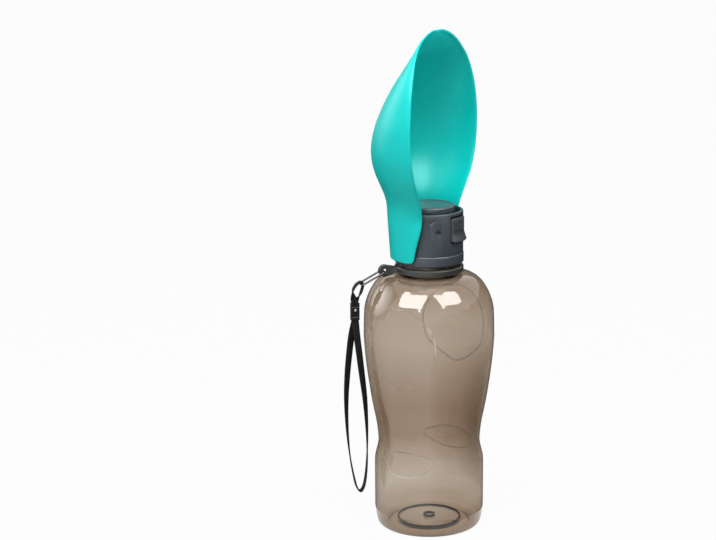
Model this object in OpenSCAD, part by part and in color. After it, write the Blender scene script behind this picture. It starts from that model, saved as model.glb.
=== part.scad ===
// Travel water bottle for a dog: a waisted squeeze bottle, a screw cap with a
// lever valve, a drinking trough that hinges on the cap and stands open above
// it, and a wrist strap on a ring round the neck.
// Frame: Z up, the foot ring stands on z = 0, the bottle's axis is Z, and the
// trough opens and the lever faces towards -Y.

/* [Bottle] */
// Height of the shoulder's top, where the neck starts
shoulder_z = 169.5; // [160:0.5:185]
// Radius at the widest point
belly_r = 42.5; // [38:0.5:46]
// Height of the widest point
belly_z = 128; // [120:1:134]
// Radius at the grip waist
waist_r = 33.2; // [30:0.2:35]
// Height of the grip waist
waist_z = 58; // [54:1:66]
// Radius of the straight lower barrel
barrel_r = 35.7; // [34:0.1:38]
// Height where the straight barrel starts
barrel_z = 12; // [10:1:16]
// Length of the straight barrel
barrel_h = 30; // [20:1:32]
// Outer radius of the flat foot ring
foot_r = 29.6; // [27:0.2:31]
// Width of the flat foot ring
foot_w = 2.4; // [1.5:0.1:4]
// Radius of the flat push-up inside the foot
punt_r = 20; // [14:0.5:23]
// Height of the push-up
punt_h = 2.6; // [1.5:0.1:4]
// Wall of the bottle
bottle_wall = 1.2; // [0.8:0.1:2]
// Radius of the moulding gate's nub under the base
nub_r = 1.3; // [0.8:0.1:2]

/* [Neck] */
// Outer radius of the neck, at the root of its thread
neck_r = 17.5; // [16.5:0.1:17.8]
// Radius of the neck's bore
neck_bore_r = 15.6; // [14.5:0.1:16]
// Height of the neck above the shoulder
neck_h = 20.5; // [18:0.5:24]
// Radius of the neck bead that traps the strap's ring
bead_r = 20.6; // [19.5:0.1:21.4]
// Height of the neck bead
bead_h = 1.6; // [1.2:0.1:2.4]
// Depth of the thread, which the cap's bore has to clear
thread_depth = 1.2; // [0.9:0.1:1.3]

/* [Strap ring] */
// Outer radius of the ring
ring_r = 22.3; // [21:0.1:23]
// Height of the ring
ring_h = 4.2; // [3:0.1:5]
// Gap above the shoulder and under the neck bead
ring_gap = 0.8; // [0.4:0.1:1.2]
// Direction of the strap eye round the bottle
eye_angle = 134; // [100:1:170]
// Distance of the eye's centre from the bottle's axis
eye_reach = 29.8; // [28:0.1:33]
// Outer radius of the eye
eye_r = 3.8; // [3.2:0.1:4]
// Radius of the hole in the eye
eye_hole_r = 1.5; // [1.2:0.1:1.9]
// Width of the eye along its hole
eye_w = 3.6; // [3:0.1:4.4]

/* [Wire link] */
// Radius of the link's wire
wire_r = 0.65; // [0.5:0.05:0.8]
// Length of the link between its two end bars
link_len = 16.8; // [14:0.2:20]
// Width of the link between its two sides, centre to centre
link_w = 7.4; // [6.8:0.1:9]
// Bend radius of the link's corners
link_bend = 1.6; // [1.2:0.1:1.8]
// Angle of the link below the horizontal
link_drop = 27; // [20:1:32]

/* [Strap] */
// Width of the webbing
strap_w = 4.6; // [4:0.1:5.2]
// Thickness of the webbing
strap_t = 0.9; // [0.7:0.05:1]
// Width of the crimp
crimp_w = 5.8; // [5.6:0.1:7]
// Thickness of the crimp
crimp_t = 3.4; // [3:0.1:4]
// Height of the crimp
crimp_h = 11; // [9:0.2:13]
// Radius of the crimp's rivet
rivet_r = 0.8; // [0.6:0.1:1.1]

/* [Cap base] */
// Radius of the grip band round the bottom of the cap
band_r = 22.3; // [22:0.1:23.4]
// Height of the grip band
band_h = 6.6; // [5:0.1:8]
// Thickness of the valve deck
deck_t = 1.8; // [1.4:0.1:2.4]
// Thickness of the sealing gasket
gasket_t = 1.1; // [0.8:0.1:1.6]
// Inner radius of the sealing gasket
gasket_r = 15; // [14.6:0.1:15.6]

/* [Cap head] */
// Radius of the cap head's front housing and rim
cap_r = 22; // [21.6:0.1:22.6]
// Depth of the relief either side of the front housing
relief = 0.5; // [0.3:0.1:0.6]
// Half angle of the front housing
housing_angle = 60; // [50:1:68]
// Width of the cut-back at the housing's upper corners
cut_w = 6; // [4:0.5:8]
// Depth of that cut-back's lower end below the rim
cut_h = 12; // [9:0.5:14]
// Depth of its upper end below the rim
cut_top = 2; // [1:0.5:4]
// Height of the cap head above the grip band
head_h = 27.3; // [26:0.1:30]
// Depth of the outlet groove below the rim
groove_d = 4.8; // [4:0.1:5.4]
// Thickness of the rim
rim_w = 1.8; // [1.4:0.1:2.2]
// Thickness of the outlet deck
outlet_t = 1.8; // [1.4:0.1:2.2]
// Radius of the outlet hole
outlet_r = 7.5; // [6.5:0.1:9]
// Width of the spokes that carry the stem guides
spoke_w = 1.6; // [1.2:0.1:2]
// Height of a softened edge
edge = 0.8; // [0.4:0.1:1]

/* [Valve] */
// Radius of the spout disc
disc_r = 16.8; // [15:0.1:17.6]
// Height of the spout disc
disc_h = 5.2; // [4:0.1:6]
// How far the spout disc stands above the rim
disc_rise = 3.4; // [2.6:0.1:4]
// Radius of the valve stem
stem_r = 2.5; // [2:0.1:2.8]
// Radius of the stem guides' hubs
hub_r = 4.8; // [4.4:0.1:5.4]
// Radius of the valve seat's opening
seat_r = 6.6; // [6.2:0.1:7.2]
// Radius of the rubber seal under the seat
seal_r = 8.2; // [7.8:0.1:9]
// Thickness of the rubber seal
seal_t = 2.2; // [1.6:0.1:3]
// Thickness of the stem's foot
foot_t = 1.5; // [1:0.1:2]
// Radius of the collar that the lever pushes
collar_r = 4.8; // [4.4:0.1:5.2]
// Thickness of that collar
collar_t = 1.6; // [1.2:0.1:2]
// Radius of the spring's wire
coil_wire_r = 0.4; // [0.3:0.05:0.5]
// Turns of the spring
coil_turns = 4; // [3:1:5]
// Radius of the vent's stem
vent_r = 1.1; // [0.8:0.1:1.3]
// Radius of the vent's rubber flap
vent_flap_r = 2.8; // [2.2:0.1:3.2]
// Distance of the vent from the cap's axis
vent_y = 11.3; // [11.2:0.1:11.6]

/* [Lever] */
// Width of the lever's pad
lever_w = 16.4; // [14:0.2:17]
// Height of the lever's pad
lever_h = 15.6; // [14:0.2:16.4]
// Height of the pad's lower edge above the grip band
lever_rise = 8.4; // [8:0.1:9]
// Gap round the lever's pad
lever_gap = 0.5; // [0.4:0.1:0.7]
// Free height over the pad, for its swing
lever_head = 1.3; // [1.1:0.1:1.5]
// How far the pad stands out from the cap
pad_out = 0.6; // [0.3:0.1:1]
// How far the lower lip stands out from the cap
lip_out = 2.4; // [1.6:0.1:3]
// Radius of the lever's pin
pin_r = 1.2; // [1:0.1:1.5]
// Distance of the pin in front of the cap's axis
pin_y = 15.7; // [15:0.1:16.2]
// Depth of the pin's end below the housing's face
pin_sink = 1.2; // [0.8:0.1:2]
// Height of the pin above the grip band
pin_rise = 15.6; // [15.2:0.1:16]
// Thickness of the lever's fork
fork_t = 1.7; // [1.4:0.1:2]
// Number of grip ribs on the pad
rib_n = 5; // [3:1:6]
// Spacing of the grip ribs
rib_pitch = 1.4; // [1.1:0.1:1.6]
// Radius of a grip rib
rib_r = 0.4; // [0.3:0.05:0.5]

/* [Trough] */
// Height of the trough's tip above its pivot
trough_h = 124.8; // [110:0.2:135]
// Half of the trough's greatest width
trough_hw = 46.4; // [43:0.1:50]
// Depth of the trough behind its axis
trough_back = 36; // [33:0.2:40]
// Distance of the trough's rim in front of its axis
trough_front = 11; // [9:0.2:13]
// Thickness of the trough's wall
trough_wall = 1.7; // [1.4:0.1:2]
// Outer radius of the trough's collar at its top
skirt_r = 26.9; // [26.4:0.1:28]
// Outer radius of the collar at its bottom
skirt_bot_r = 24.9; // [24.6:0.1:26]
// Height of the collar's top above the pivot
skirt_rise = 7.8; // [6:0.2:10]
// Length of the collar below the pivot
skirt_drop = 21.4; // [18:0.2:22]
// Radius of the pivot pins
pivot_r = 3; // [2.5:0.1:3.2]
// Height of the pivot above the grip band
pivot_rise = 17.3; // [16.8:0.1:17.8]
// Radius of the pivot bosses on the cap
boss_r = 4.4; // [4:0.1:4.8]
// How far the pivot bosses stand out from the cap
boss_out = 1.5; // [1:0.1:1.8]

/* [Fits] */
// Gap between parts that move past each other
gap = 0.3; // [0.25:0.05:0.4]
// Radial clearance of a running pin or stem
run = 0.05; // [0.02:0.01:0.1]
// Gap between flat faces that turn on each other
face_gap = 0.05; // [0.02:0.01:0.1]

/* [Hidden] */
$fn = 64;

// Heights that follow from the sizes above
neck_top = shoulder_z + neck_h;
ring_z = shoulder_z + ring_gap + 0.5;
bead_z = ring_z + ring_h + ring_gap - 0.5;
cap_z = bead_z + bead_h + gap;
band_top = cap_z + band_h;
seat_z = neck_top + gasket_t + 2 * face_gap;
deck_top = seat_z + deck_t;
rim_z = band_top + head_h;
outlet_top = rim_z - groove_d;
outlet_z = outlet_top - outlet_t;
body_r = cap_r - relief;
thread_bore_r = neck_r + thread_depth + 0.25;
sleeve_r = body_r - 1.4;
shell_in_r = sleeve_r + 0.2;
rim_in_r = cap_r - rim_w;
disc_z = rim_z + disc_rise - disc_h;
pin_z = band_top + pin_rise;
pin_half = sqrt(cap_r * cap_r - pin_y * pin_y) - pin_sink;
pivot_z = band_top + pivot_rise;
fork_z = pin_z + 1.4;
collar_top = fork_z - gap;
collar_z = collar_top - collar_t;
seal_z = seat_z - face_gap - seal_t;
stem_foot_z = seal_z - foot_t;
lever_z = band_top + lever_rise;
lever_top = lever_z + lever_h;
eye_z = ring_z + ring_h / 2 - 0.4;

// ---- curves ----
function lerp(a, b, t) = a + (b - a) * t;
function knot(P, i) = P[max(0, min(len(P) - 1, i))];
// Catmull-Rom curve through the stations P, n steps between each two
function curve(P, n) = [
    for (i = [0 : len(P) - 2], k = [0 : n - 1])
        let (t = k / n, a = knot(P, i - 1), b = knot(P, i), c = knot(P, i + 1), d = knot(P, i + 2))
        0.5 * (2 * b + (c - a) * t + (2 * a - 5 * b + 4 * c - d) * t * t
               + (3 * b - a - 3 * c + d) * t * t * t),
    P[len(P) - 1]];
function unit(v) = v / max(norm(v), 1e-9);
// A profile moved inwards, square to itself
function inset(P, w) = [
    for (i = [0 : len(P) - 1])
        let (d = unit(knot(P, i + 1) - knot(P, i - 1)))
        P[i] + w * [-d[1], d[0]]];
// Triangles between successive rings of n points, each ring counterclockwise
// as seen from the far end of the tube
function tube_faces(rows, n) = [
    for (i = [0 : rows - 2], k = [0 : n - 1])
        let (a = i * n + k, b = i * n + (k + 1) % n, c = a + n, d = b + n)
        each [[a, d, b], [a, c, d]]];
// Fans that close the two ends of such a tube
function tube_ends(rows, n) = [
    for (k = [1 : n - 2], o = [(rows - 1) * n]) each [[0, k, k + 1], [o, o + k + 1, o + k]]];

// ---- bottle ----
// Outer side of the bottle from the foot to the neck, as [radius, height]
function bottle_side() = concat(
    curve([[foot_r, 0], [foot_r + 0.56 * (barrel_r - foot_r), 0.09 * barrel_z],
           [foot_r + 0.82 * (barrel_r - foot_r), 0.36 * barrel_z],
           [barrel_r, barrel_z]], 4),
    let (z0 = barrel_z + barrel_h, dz = waist_z - z0, dr = barrel_r - waist_r)
    curve([[barrel_r, z0], [barrel_r - 0.1 * dr, z0 + 0.28 * dz],
           [barrel_r - 0.82 * dr, z0 + 0.75 * dz], [waist_r, waist_z]], 3),
    let (dz = belly_z - waist_z, dr = belly_r - waist_r)
    [for (p = curve([[0, 0], [0.12, 0.16], [0.47, 0.4], [0.84, 0.74], [1, 1]], 4), s = [p]) if (s[1] > 0)
        [waist_r + s[0] * dr, waist_z + s[1] * dz]],
    let (dz = shoulder_z - belly_z, dr = belly_r - neck_r)
    [for (p = curve([[1, 0], [0.985, 0.36], [0.955, 0.51], [0.88, 0.65], [0.78, 0.77],
                     [0.66, 0.87], [0.49, 0.95], [0.26, 0.99], [0.09, 1]], 3)) if (p[1] > 0)
        [neck_r + p[0] * dr, belly_z + p[1] * dz]]);

module bottle() {
    side = bottle_side();
    inner = inset(side, bottle_wall);
    color([0.63, 0.56, 0.49, 0.45])
    difference() {
        union() {
            rotate_extrude($fn = 96) polygon(concat(
                [[0, punt_h], [punt_r, punt_h],
                 [punt_r + 2.5, punt_h * 0.75], [foot_r - foot_w - 1.2, 0.35], [foot_r - foot_w, 0]],
                side,
                [[neck_r + 1, shoulder_z + 0.3], [neck_r, shoulder_z + 1.3], [neck_r, bead_z],
                 [bead_r, bead_z + 0.2], [bead_r, bead_z + bead_h - 0.2], [neck_r, bead_z + bead_h],
                 [neck_r, neck_top - 0.4], [neck_r - 0.4, neck_top],
                 [neck_bore_r, neck_top], [neck_bore_r, shoulder_z - bottle_wall]],
                [for (i = [len(inner) - 1 : -1 : 0])
                    if (inner[i][0] > neck_bore_r && inner[i][1] > bottle_wall + 0.6 && inner[i][1] < shoulder_z - bottle_wall)
                        inner[i]],
                [[foot_r - 1, bottle_wall], [foot_r - foot_w - 1.5, bottle_wall + 0.2],
                 [punt_r + 2, punt_h + bottle_wall - 0.6], [punt_r - 0.5, punt_h + bottle_wall],
                 [0, punt_h + bottle_wall]]));
            translate([0, 0, punt_h - 0.5]) cylinder(r = nub_r, h = 0.6, $fn = 24);
        }
    }
}

// ---- strap ring and link ----
module lanyard_ring() {
    color([0.45, 0.46, 0.47])
    difference() {
        union() {
            rotate_extrude($fn = 96) polygon([
                [neck_r + gap, ring_z], [ring_r - 0.6, ring_z], [ring_r, ring_z + 0.6],
                [ring_r, ring_z + ring_h - 0.6], [ring_r - 0.6, ring_z + ring_h], [neck_r + gap, ring_z + ring_h]]);
            rotate([0, 0, eye_angle]) {
                // arm that tapers from the ring into the eye
                rotate([90, 0, 0]) translate([0, 0, -eye_w / 2]) linear_extrude(eye_w)
                    polygon([[neck_r + 1.5, ring_z + 0.2], [ring_r + 1, ring_z + 0.2],
                             [eye_reach - eye_r * 0.5, eye_z - eye_r * 0.866],
                             [eye_reach, eye_z], [eye_reach - eye_r * 0.3, eye_z + eye_r * 0.954],
                             [ring_r + 1, ring_z + ring_h], [neck_r + 1.5, ring_z + ring_h]]);
                translate([eye_reach, 0, eye_z]) rotate([90, 0, 0])
                    cylinder(r = eye_r, h = eye_w, center = true);
                // fillets where the arm leaves the ring
                for (s = [-1, 1]) translate([0, s * eye_w / 2, ring_z + 0.4]) linear_extrude(ring_h - 0.8)
                    polygon([[ring_r - 1.2, 0], [ring_r - 1.2, s * 2.6], [ring_r + 0.3, s * 1.1],
                             [ring_r + 2.6, 0]]);
            }
        }
        rotate([0, 0, eye_angle]) translate([eye_reach, 0, eye_z]) rotate([90, 0, 0])
            cylinder(r = eye_hole_r, h = eye_w + 2, center = true);
    }
}

// Centre of the link's bar in the eye: it hangs against the hole's outer side
link_x = eye_reach + (eye_hole_r - wire_r - gap) * cos(link_drop);
link_z = eye_z - (eye_hole_r - wire_r - gap) * sin(link_drop);
// Centre of the link's lower bar
hang_x = link_x + link_len * cos(link_drop);
hang_z = link_z - link_len * sin(link_drop);

// Quarter bend of round wire
module wire_bend() {
    rotate_extrude(angle = 90, $fn = 48) translate([link_bend, 0]) circle(r = wire_r, $fn = 24);
}

module wire_link() {
    w = link_w / 2 - link_bend;
    color([0.72, 0.72, 0.72])
    rotate([0, 0, eye_angle]) translate([link_x, 0, link_z]) rotate([0, link_drop, 0]) {
        for (x = [0, link_len]) translate([x, 0, 0]) rotate([90, 0, 0])
            cylinder(r = wire_r, h = 2 * w, center = true, $fn = 24);
        for (s = [-1, 1]) translate([link_bend, s * link_w / 2, 0]) rotate([0, 90, 0])
            cylinder(r = wire_r, h = link_len - 2 * link_bend, $fn = 24);
        translate([link_len - link_bend, w, 0]) wire_bend();
        translate([link_bend, w, 0]) rotate([0, 0, 90]) wire_bend();
        translate([link_bend, -w, 0]) rotate([0, 0, 180]) wire_bend();
        translate([link_len - link_bend, -w, 0]) rotate([0, 0, 270]) wire_bend();
    }
}

// ---- webbing ----
// The strap hangs in the eye's own plane: x outwards, y towards the viewer, z up.
// Route stations are [x, y, z, turn], where turn is the angle of the webbing's
// width away from the y direction.
crimp_x = 49.4;
crimp_top = 152.4;
crimp_bot = crimp_top - crimp_h;
lay = strap_t / 2 + 0.06;
// Radius of the webbing's own path over the link's bar
over_r = wire_r + gap + strap_t / 2;
small_route = [
    [crimp_x, -lay, crimp_top, 90], [crimp_x + 0.3, -lay - 0.1, crimp_top + 1.6, 84],
    [crimp_x + 1.2, -0.4, 157, 45], [crimp_x + 1.3, -0.1, 160.5, 8], [48.8, 0, 164, 0],
    [hang_x + over_r * 0.95, 0, hang_z + over_r * 0.75, 0],
    [hang_x, 0, hang_z + over_r * 1.04, 0],
    [hang_x - over_r * 0.98, 0, hang_z + over_r * 0.4, 0],
    [44.6, 0, 161.4, 0], [45.9, 0.1, 158.2, 8], [47.6, 0.4, 155.4, 45],
    [crimp_x - 0.3, lay + 0.1, crimp_top + 1.4, 84], [crimp_x, lay, crimp_top, 90]];
hand_route = [
    [crimp_x, -lay, crimp_bot, 90], [crimp_x + 0.3, -lay - 0.1, 139.4, 88],
    [51.5, -1.2, 131, 80], [52.9, -2.4, 118, 74], [54.1, -3, 104, 64], [54.9, -3, 90, 50],
    [55, -2.4, 76, 36], [54.5, -1.4, 62, 22], [53.2, -0.6, 48, 10], [51.2, 0, 36, 3],
    [49.3, 0, 28.5, 0], [46.9, 0, 25.4, 0], [44.6, 0, 28.5, 0], [43.1, 0, 36, 3],
    [42.3, 0.6, 48, 10], [42.3, 1.4, 62, 22], [43, 2.4, 76, 36], [44.1, 3, 90, 50],
    [45.7, 3, 104, 64], [47.2, 2.4, 118, 74], [48.5, 1.2, 131, 80],
    [crimp_x - 0.2, lay + 0.1, 139.4, 88], [crimp_x, lay, crimp_bot, 90]];

// Webbing swept along a route: a flat band with softened edges
module webbing(route, n) {
    path = curve(route, n);
    last = len(path) - 1;
    w = strap_w / 2;
    h = strap_t / 2;
    ring = [[w, -h * 0.4], [w, h * 0.4], [w * 0.86, h], [-w * 0.86, h],
            [-w, h * 0.4], [-w, -h * 0.4], [-w * 0.86, -h], [w * 0.86, -h]];
    function xyz(p) = [p[0], p[1], p[2]];
    function heading(i) = (i == 0) ? xyz(path[1]) - xyz(path[0])
        : (i == last) ? xyz(path[last]) - xyz(path[last - 1])
        : xyz(path[i + 1]) - xyz(path[i - 1]);
    points = [for (i = [0 : last])
        let (flat_end = (i == 0 || i == last),
             t = flat_end ? [0, 0, sign(heading(i)[2])] : unit(heading(i)),
             a = path[i][3],
             // turning in the band's own plane, so that the strands never cross
             e = [sin(a), cos(a), 0],
             u = unit(e - (e * t) * t), v = cross(t, u))
        for (q = ring) xyz(path[i]) + q[0] * u + q[1] * v];
    rotate([0, 0, eye_angle])
    polyhedron(points = points, faces = concat(tube_faces(last + 1, 8), tube_ends(last + 1, 8)), convexity = 6);
}

module strap_small_loop() { color([0.07, 0.07, 0.07]) webbing(small_route, 3); }
module strap_hand_loop() { color([0.07, 0.07, 0.07]) webbing(hand_route, 3); }

// Rounded rectangle, size w by h, corner radius r
module rounded(w, h, r) {
    square([w - 2 * r, h], center = true);
    square([w, h - 2 * r], center = true);
    for (x = [-1, 1], y = [-1, 1]) translate([x * (w / 2 - r), y * (h / 2 - r)]) circle(r = r, $fn = 32);
}

module strap_crimp() {
    color([0.09, 0.09, 0.09])
    rotate([0, 0, eye_angle]) translate([crimp_x, 0, crimp_bot])
    difference() {
        linear_extrude(crimp_h) rounded(crimp_w, crimp_t, 0.9);
        // pressed groove across each face, above and below the rivet
        for (s = [-1, 1], z = [0.2, 0.8])
            translate([0, s * (crimp_t / 2 + 0.35), z * crimp_h]) rotate([0, 90, 0])
                cylinder(r = 0.6, h = crimp_w + 2, center = true, $fn = 24);
    }
}

module crimp_rivet() {
    color([0.8, 0.8, 0.8])
    rotate([0, 0, eye_angle]) translate([crimp_x, -crimp_t / 2, crimp_bot + 0.6 * crimp_h])
    rotate([90, 0, 0]) rotate_extrude($fn = 32)
        polygon([[0, 0], [rivet_r, 0], [rivet_r, 0.25], [rivet_r * 0.6, 0.5], [0, 0.5]]);
}

// ---- cap base ----
// Hub on spokes, bored for the stem, in a round opening of radius r
module stem_guide(z0, z1, r, spoke_top) {
    difference() {
        union() {
            translate([0, 0, z0]) cylinder(r = hub_r, h = z1 - z0);
            for (a = [30, 150, 270]) rotate([0, 0, a]) translate([0, -spoke_w / 2, z0])
                cube([r + 0.4, spoke_w, spoke_top - z0]);
        }
        translate([0, 0, z0 - 1]) cylinder(r = stem_r + run, h = z1 - z0 + 2);
    }
}

module cap_base() {
    color([0.25, 0.29, 0.32]) {
        difference() {
            rotate_extrude($fn = 96) polygon([
                [thread_bore_r, cap_z], [band_r - 0.5, cap_z], [band_r, cap_z + 0.5],
                [band_r, band_top - 0.5], [band_r - 0.4, band_top], [sleeve_r, band_top],
                [sleeve_r, deck_top - 0.4], [sleeve_r - 0.4, deck_top], [seat_r, deck_top],
                [seat_r, seat_z], [thread_bore_r, seat_z]]);
            translate([0, vent_y, seat_z - 1]) cylinder(r = vent_r, h = deck_t + 2, $fn = 32);
        }
        stem_guide(seat_z, deck_top, seat_r, deck_top);
    }
}

module cap_gasket() {
    color([0.85, 0.85, 0.82])
    rotate_extrude($fn = 96) polygon([
        [gasket_r, neck_top + face_gap], [thread_bore_r - 0.1, neck_top + face_gap],
        [thread_bore_r - 0.1, neck_top + face_gap + gasket_t], [gasket_r, neck_top + face_gap + gasket_t]]);
}

module vent_valve() {
    color([0.85, 0.85, 0.82])
    translate([0, vent_y, 0]) rotate_extrude($fn = 48) polygon([
        [0, seat_z - 0.9], [vent_flap_r * 0.6, seat_z - 0.8], [vent_flap_r, seat_z - 0.3], [vent_flap_r, seat_z],
        [vent_r, seat_z], [vent_r, deck_top], [vent_r + 0.5, deck_top], [vent_r + 0.3, deck_top + 0.8],
        [0, deck_top + 1]]);
}

// ---- cap head ----
lever_bay_w = lever_w + 2 * lever_gap;
bay_y = pin_y + 2.9;   // back of the lever's bay
bay_z = lever_z - lever_gap;
bay_top = lever_top + lever_head;

// Sector of the front housing, seen from above
module front_sector(r) {
    intersection() {
        circle(r = r, $fn = 96);
        polygon([[0, 0], 2 * r * [-sin(housing_angle), -cos(housing_angle)],
                 [-r, -2 * r], [r, -2 * r], 2 * r * [sin(housing_angle), -cos(housing_angle)]]);
    }
}

module cap_head() {
    color([0.27, 0.31, 0.34])
    difference() {
        union() {
            difference() {
                union() {
                    // body, rim with a softened top edge, and the flare under the rim
                    rotate_extrude($fn = 96) polygon([
                        [0, band_top], [body_r, band_top], [body_r, rim_z - 5.2], [cap_r, rim_z - 3.2],
                        [cap_r, rim_z - edge], [cap_r - 0.3 * edge, rim_z - 0.3 * edge],
                        [cap_r - edge, rim_z], [0, rim_z]]);
                    // housing round the lever, with its upper corners cut back
                    intersection() {
                        translate([0, 0, band_top]) linear_extrude(head_h - edge) front_sector(cap_r);
                        rotate([90, 0, 0]) linear_extrude(3 * cap_r) polygon([
                            [-cap_r, band_top], [cap_r, band_top], [cap_r, rim_z - cut_h],
                            [cap_r - cut_w, rim_z - cut_top], [-cap_r + cut_w, rim_z - cut_top], [-cap_r, rim_z - cut_h]]);
                    }
                }
                // hollow that goes over the base's sleeve
                translate([0, 0, band_top - 1]) cylinder(r = shell_in_r, h = outlet_z - band_top + 1);
                // outlet groove
                translate([0, 0, outlet_top]) cylinder(r = rim_in_r, h = groove_d + 1);
                // outlet hole
                translate([0, 0, outlet_z - 1]) cylinder(r = outlet_r, h = outlet_t + 2);
            }
            stem_guide(outlet_z, outlet_top + 0.5, outlet_r, outlet_top);
            // wall behind the lever's bay, so that the groove stays closed
            intersection() {
                translate([0, 0, outlet_z]) cylinder(r = rim_in_r + 0.4, h = bay_top + 0.8 - outlet_z);
                translate([-lever_bay_w / 2 - 1.1, -cap_r, outlet_z])
                    cube([lever_bay_w + 2.2, cap_r - bay_y + 1, bay_top + 0.8 - outlet_z]);
            }
            intersection() {
                cylinder(r = cap_r - 0.2, h = rim_z);
                union() {
                    // inner bosses for the lever's pin
                    for (s = [-1, 1]) translate([s * (lever_w / 2), -pin_y, pin_z]) rotate([0, s * 90, 0])
                        cylinder(r = pin_r + 1.5, h = 8);
                    // inner bosses for the trough's pivots
                    for (s = [-1, 1]) translate([s * (shell_in_r - 3), 0, pivot_z]) rotate([0, s * 90, 0])
                        cylinder(r = boss_r, h = 6);
                }
            }
            // outer pivot bosses
            for (s = [-1, 1]) translate([s * (body_r - 1), 0, pivot_z]) rotate([0, s * 90, 0])
                cylinder(r = boss_r, h = relief + boss_out + 1);
        }
        // bay that the lever's pad rocks in
        translate([-lever_bay_w / 2, -cap_r - 2, bay_z]) cube([lever_bay_w, cap_r + 2 - bay_y, bay_top - bay_z]);
        // hole for the lever's pin, with a countersink at each end
        translate([0, -pin_y, pin_z]) rotate([0, 90, 0]) cylinder(r = pin_r, h = 3 * cap_r, center = true, $fn = 32);
        for (s = [-1, 1]) translate([s * (pin_half + pin_sink / 2), -pin_y, pin_z]) rotate([0, s * 90, 0])
            cylinder(r = pin_r + 0.7, h = 4, $fn = 32);
        // sockets for the trough's pivots
        translate([0, 0, pivot_z]) rotate([0, 90, 0]) cylinder(r = pivot_r + run, h = 3 * cap_r, center = true);
    }
}

// ---- valve ----
module valve_stem() {
    color([0.86, 0.86, 0.84]) rotate_extrude($fn = 64) polygon([
        [0, stem_foot_z], [stem_r + 1.6, stem_foot_z], [stem_r + 2, stem_foot_z + 0.4],
        [stem_r + 2, seal_z], [stem_r, seal_z], [stem_r, disc_z], [0, disc_z]]);
}

// Washer of inner radius a and outer radius b
module washer(a, b, z, h) {
    translate([0, 0, z]) difference() {
        cylinder(r = b, h = h);
        translate([0, 0, -1]) cylinder(r = a, h = h + 2);
    }
}

module stem_collar() { color([0.86, 0.86, 0.84]) washer(stem_r, collar_r, collar_z, collar_t); }
module valve_seal() { color([0.15, 0.15, 0.15]) washer(stem_r, seal_r, seal_z, seal_t); }

module spout_disc() {
    top = disc_z + disc_h;
    color([0.36, 0.4, 0.42]) rotate_extrude($fn = 96) polygon([
        [0, disc_z], [disc_r - 1.4, disc_z], [disc_r, disc_z + 1.4], [disc_r, top - 0.9],
        [disc_r - 0.9, top], [disc_r - 2.2, top], [disc_r - 2.6, top - 0.3], [0, top - 0.3]]);
}

// Compression spring round the stem, from the base's hub to the collar
module valve_spring() {
    mean_r = stem_r + 0.9 + coil_wire_r;
    z0 = deck_top + coil_wire_r;
    z1 = collar_z - coil_wire_r;
    steps = coil_turns * 12;
    n = 6;
    points = [for (i = [0 : steps], k = [0 : n - 1])
        let (a = 360 * i / 12, z = lerp(z0, z1, i / steps), b = -360 * k / n)
        [(mean_r + coil_wire_r * cos(b)) * cos(a), (mean_r + coil_wire_r * cos(b)) * sin(a),
         z + coil_wire_r * sin(b)]];
    color([0.75, 0.75, 0.76])
    polyhedron(points = points, faces = concat(tube_faces(steps + 1, n), tube_ends(steps + 1, n)), convexity = 8);
}

// ---- lever ----
module lever_pin() {
    color([0.75, 0.75, 0.76]) translate([0, -pin_y, pin_z]) rotate([0, 90, 0])
        cylinder(r = pin_r, h = 2 * pin_half, center = true, $fn = 48);
}

module lever() {
    cheek = 2;
    cheek_x = lever_w / 2 - 0.4;
    pad_in = cap_r - 1.8;
    prong_in = stem_r + 0.9;
    prong_out = prong_in + 2.2;
    color([0.3, 0.34, 0.37])
    difference() {
        union() {
            // pad: curved like the cap, flaring into the lower lip
            intersection() {
                rotate_extrude($fn = 96) polygon([
                    [cap_r / 2, lever_z - 1], [cap_r + lip_out - 0.7, lever_z - 1], [cap_r + lip_out - 0.5, lever_z],
                    [cap_r + lip_out, lever_z + 0.8], [cap_r + lip_out - 0.5, lever_z + 2],
                    [cap_r + pad_out + 0.4, lever_z + 4.4], [cap_r + pad_out, lever_z + 6],
                    [cap_r + pad_out, lever_top - 1.2], [cap_r + pad_out - 0.5, lever_top], [cap_r / 2, lever_top]]);
                translate([0, -pad_in, lever_z + lever_h / 2]) rotate([90, 0, 0])
                    linear_extrude(8) rounded(lever_w, lever_h, 1.6);
            }
            // grip ribs
            intersection() {
                for (i = [0 : rib_n - 1]) translate([0, 0, lever_top - 1.8 - i * rib_pitch])
                    rotate_extrude($fn = 96) translate([cap_r + pad_out, 0]) circle(r = rib_r, $fn = 16);
                translate([-lever_w / 2 + 1.6, -cap_r - 4, lever_z]) cube([lever_w - 3.2, 8, lever_h]);
            }
            // cheeks from the pad to the pin
            for (s = [-1, 1]) translate([s * (cheek_x - cheek / 2), 0, 0]) {
                translate([-cheek / 2, -pad_in - 0.5, pin_z - 2.2]) cube([cheek, pad_in + 0.5 - pin_y, 4.4]);
                translate([0, -pin_y, pin_z]) rotate([0, 90, 0])
                    cylinder(r = pin_r + 1.5, h = cheek, center = true);
            }
            // bridge behind the pin and the two prongs beside the stem
            translate([-cheek_x, -pin_y, fork_z]) cube([2 * cheek_x, 4, fork_t]);
            translate([-cheek_x, -pin_y + 1.4, pin_z - 0.6]) cube([2 * cheek_x, 1.6, 2.6]);
            for (s = [-1, 1]) translate([s * (prong_in + prong_out) / 2 - 1.1, -pin_y + 2, fork_z])
                cube([2.2, pin_y - 1, fork_t]);
        }
        translate([0, -pin_y, pin_z]) rotate([0, 90, 0])
            cylinder(r = pin_r + run, h = lever_w + 4, center = true, $fn = 48);
    }
}

// ---- trough ----
trough_z0 = pivot_z - skirt_drop;
trough_tip = pivot_z + trough_h;
skirt_top = pivot_z + skirt_rise;
rise = trough_tip - skirt_top;
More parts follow.
